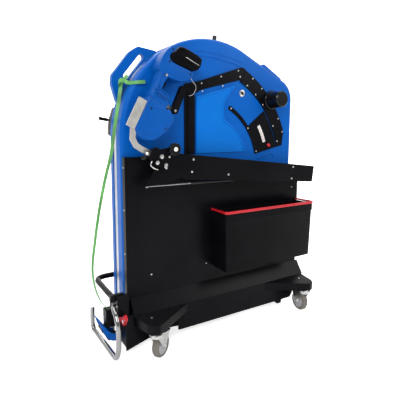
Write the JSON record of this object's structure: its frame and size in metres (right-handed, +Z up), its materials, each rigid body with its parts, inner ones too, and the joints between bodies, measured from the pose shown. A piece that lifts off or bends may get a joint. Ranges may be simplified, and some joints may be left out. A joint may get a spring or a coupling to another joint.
{
  "type": "wheeled strapping cart",
  "caption": "Wheeled cart with a tall moulded chain housing, side bin, strut-assisted lift arm carrying a hand strapping tool, chain sled and a loose plastic strap.",
  "frame": {"origin": "centre of the bounding box at floor level, measured without the loose strap", "axes": "+X along the front panel towards its right end as seen from the front, +Y to the rear, +Z up"},
  "size_m": [1.154, 0.4558, 1.3976],
  "materials": {
    "black_sheet": "satin powder coat",
    "zinc": "zinc plated",
    "blue_shell": "satin moulded",
    "light_shell": "satin moulded",
    "tool_blue": "satin moulded",
    "bare_aluminium": "brushed",
    "white_label": "printed",
    "black_plastic": "fine grain",
    "red_plastic": "satin",
    "chrome_tube": "polished",
    "motor_grey": "satin",
    "grey_tread": "matte",
    "hub_grey": "satin",
    "strut_black": "gloss",
    "plain_steel": "ground",
    "bracket_grey": "satin",
    "green_strap": "smooth band"
  },
  "bodies": {
    "chassis": {"base_deck": "black_sheet", "front_ledge": "black_sheet", "front_apron": "black_sheet", "front_panel": "black_sheet", "rear_panel": "black_sheet", "screws": "zinc", "front_shell": "blue_shell", "seam_frame": "bare_aluminium", "rear_shell": "blue_shell", "cover_panel": "light_shell", "trim_strips": "black_sheet", "trim_arc": "black_sheet", "control_plate": "black_sheet", "scale_label": "white_label", "top_peg": "black_plastic", "exit_box": "black_sheet", "guide_loop": "chrome_tube", "bumper_frame": "black_sheet", "drive_motor": "motor_grey", "caster_plates": "zinc", "hinge_bracket": "black_sheet", "control_bracket": "bracket_grey", "strap": "green_strap", "strap_knot": "green_strap"},
    "knob": {"big_knob": "black_plastic"},
    "button": {"red_button": "red_plastic"},
    "latch": {"red_latch": "red_plastic"},
    "sled": {"sled_nose": "blue_shell", "lance_chain": "black_plastic"},
    "sprocket": {"drive_sprocket": "zinc"},
    "fork_front_left": {"fork_front_left": "zinc"},
    "wheel_front_left": {"tyre_front_left": "grey_tread", "hub_front_left": "hub_grey"},
    "pedal_front_left": {"pedal_front_left": "black_plastic"},
    "fork_front_right": {"fork_front_right": "zinc"},
    "wheel_front_right": {"tyre_front_right": "grey_tread", "hub_front_right": "hub_grey"},
    "pedal_front_right": {"pedal_front_right": "black_plastic"},
    "fork_rear_left": {"fork_rear_left": "zinc"},
    "wheel_rear_left": {"tyre_rear_left": "grey_tread", "hub_rear_left": "hub_grey"},
    "fork_rear_right": {"fork_rear_right": "zinc"},
    "wheel_rear_right": {"tyre_rear_right": "grey_tread", "hub_rear_right": "hub_grey"},
    "arm": {"lift_arm": "black_sheet", "arm_bolts": "zinc", "clamp_block": "black_sheet"},
    "strut_tube": {"strut_tube": "strut_black"},
    "strut_rod": {"strut_rod": "chrome_tube"},
    "tool": {"tool_holder": "plain_steel", "tool_body": "tool_blue", "tool_pins": "zinc"},
    "battery": {"tool_battery": "black_plastic"},
    "tension_lever": {"tool_lever": "black_plastic"},
    "trigger": {"tool_trigger": "black_plastic"},
    "clamp_lever": {"clamp_lever": "black_plastic"},
    "side_knob": {"round_knob": "black_plastic"},
    "bin": {"bin_body": "black_plastic", "bin_rim": "red_plastic"},
    "strap_lever": {"control_lever": "black_plastic"}
  },
  "joints": [
    {"name": "knob_turn", "type": "hinge", "parent": "chassis", "child": "knob", "pos_m": [0.347, -0.055, 1.097], "axis": [0, 1, 0], "range_deg": [-120, 120]},
    {"name": "button_press", "type": "slide", "parent": "chassis", "child": "button", "axis": [0, 1, 0], "range_m": [0, 0.004], "stiffness_N_per_m": 400, "springref_m": -0.002},
    {"name": "latch_turn", "type": "hinge", "parent": "chassis", "child": "latch", "pos_m": [-0.491, -0.101, 0.152], "axis": [1, 0, 0], "range_deg": [-20, 0]},
    {"name": "sled_push", "type": "slide", "parent": "chassis", "child": "sled", "axis": [-1, 0, 0], "range_m": [0, 0.3]},
    {"name": "sprocket_spin", "type": "hinge", "parent": "chassis", "child": "sprocket", "pos_m": [-0.265, 0.015, 0.0782], "axis": [0, 1, 0], "range_deg": [-10, 470]},
    {"name": "swivel_front_left", "type": "hinge", "parent": "chassis", "child": "fork_front_left", "pos_m": [-0.39, -0.197, 0.11], "axis": [0, 0, 1], "continuous": true},
    {"name": "roll_front_left", "type": "hinge", "parent": "fork_front_left", "child": "wheel_front_left", "pos_m": [-0.36181, -0.17799, 0.05], "axis": [-0.5592, 0.829, 0], "continuous": true},
    {"name": "brake_front_left", "type": "hinge", "parent": "fork_front_left", "child": "pedal_front_left", "pos_m": [-0.33197, -0.15786, 0.096], "axis": [-0.5592, 0.829, 0], "range_deg": [0, 20]},
    {"name": "swivel_front_right", "type": "hinge", "parent": "chassis", "child": "fork_front_right", "pos_m": [0.46, -0.197, 0.11], "axis": [0, 0, 1], "continuous": true},
    {"name": "roll_front_right", "type": "hinge", "parent": "fork_front_right", "child": "wheel_front_right", "pos_m": [0.46473, -0.16333, 0.05], "axis": [-0.9903, 0.1392, 0], "continuous": true},
    {"name": "brake_front_right", "type": "hinge", "parent": "fork_front_right", "child": "pedal_front_right", "pos_m": [0.46974, -0.12768, 0.096], "axis": [-0.9903, 0.1392, 0], "range_deg": [0, 20]},
    {"name": "swivel_rear_left", "type": "hinge", "parent": "chassis", "child": "fork_rear_left", "pos_m": [-0.39, 0.197, 0.11], "axis": [0, 0, 1], "continuous": true},
    {"name": "roll_rear_left", "type": "hinge", "parent": "fork_rear_left", "child": "wheel_rear_left", "pos_m": [-0.35716, 0.1882, 0.05], "axis": [0.2588, 0.9659, 0], "continuous": true},
    {"name": "swivel_rear_right", "type": "hinge", "parent": "chassis", "child": "fork_rear_right", "pos_m": [0.46, 0.197, 0.11], "axis": [0, 0, 1], "continuous": true},
    {"name": "roll_rear_right", "type": "hinge", "parent": "fork_rear_right", "child": "wheel_rear_right", "pos_m": [0.42716, 0.1882, 0.05], "axis": [0.2588, -0.9659, 0], "continuous": true},
    {"name": "arm_lift", "type": "hinge", "parent": "chassis", "child": "arm", "pos_m": [0.455, -0.107, 0.715], "axis": [0, 1, 0], "range_deg": [0, 12]},
    {"name": "strut_swing", "type": "hinge", "parent": "chassis", "child": "strut_tube", "pos_m": [0.053, -0.102, 0.711], "axis": [0, 1, 0], "range_deg": [-1, 24.6]},
    {"name": "strut_extend", "type": "slide", "parent": "strut_tube", "child": "strut_rod", "axis": [-1, 0, 0.0046], "range_m": [-0.001, 0.0218]},
    {"name": "tool_tilt", "type": "hinge", "parent": "arm", "child": "tool", "pos_m": [-0.37, -0.107, 0.852], "axis": [0, 1, 0], "range_deg": [-6, 10]},
    {"name": "battery_out", "type": "slide", "parent": "tool", "child": "battery", "axis": [0.9596, 0, -0.2813], "range_m": [0, 0.09]},
    {"name": "tension_lever_turn", "type": "hinge", "parent": "tool", "child": "tension_lever", "pos_m": [-0.25523, -0.105, 1.02527], "axis": [0, 1, 0], "range_deg": [0, 30], "stiffness_Nm_per_rad": 0.4, "springref_deg": -14.32},
    {"name": "trigger_press", "type": "slide", "parent": "tool", "child": "trigger", "axis": [-0.8918, 0, 0.4524], "range_m": [0, 0.004], "stiffness_N_per_m": 500, "springref_m": -0.002},
    {"name": "clamp_turn", "type": "hinge", "parent": "arm", "child": "clamp_lever", "pos_m": [-0.361, -0.155, 0.816], "axis": [0, 1, 0], "range_deg": [0, 60]},
    {"name": "side_knob_turn", "type": "hinge", "parent": "arm", "child": "side_knob", "pos_m": [-0.275, -0.15, 0.867], "axis": [0, 1, 0], "range_deg": [-170, 170]},
    {"name": "bin_lift", "type": "slide", "parent": "chassis", "child": "bin", "axis": [0, 0, 1], "range_m": [0, 0.06]},
    {"name": "strap_lever_tilt", "type": "hinge", "parent": "chassis", "child": "strap_lever", "pos_m": [-0.441, 0.13, 0.986], "axis": [0, 1, 0], "range_deg": [-14, 0], "stiffness_Nm_per_rad": 0.3, "springref_deg": 17.19}
  ],
  "couplings": [
    {"joint": "sprocket_spin", "follows": "sled_push", "rad_per_m": 26.18},
    {"joint": "strut_swing", "follows": "arm_lift", "ratio": 1.887},
    {"joint": "strut_extend", "follows": "arm_lift", "m_per_rad": 0.08487}
  ]
}
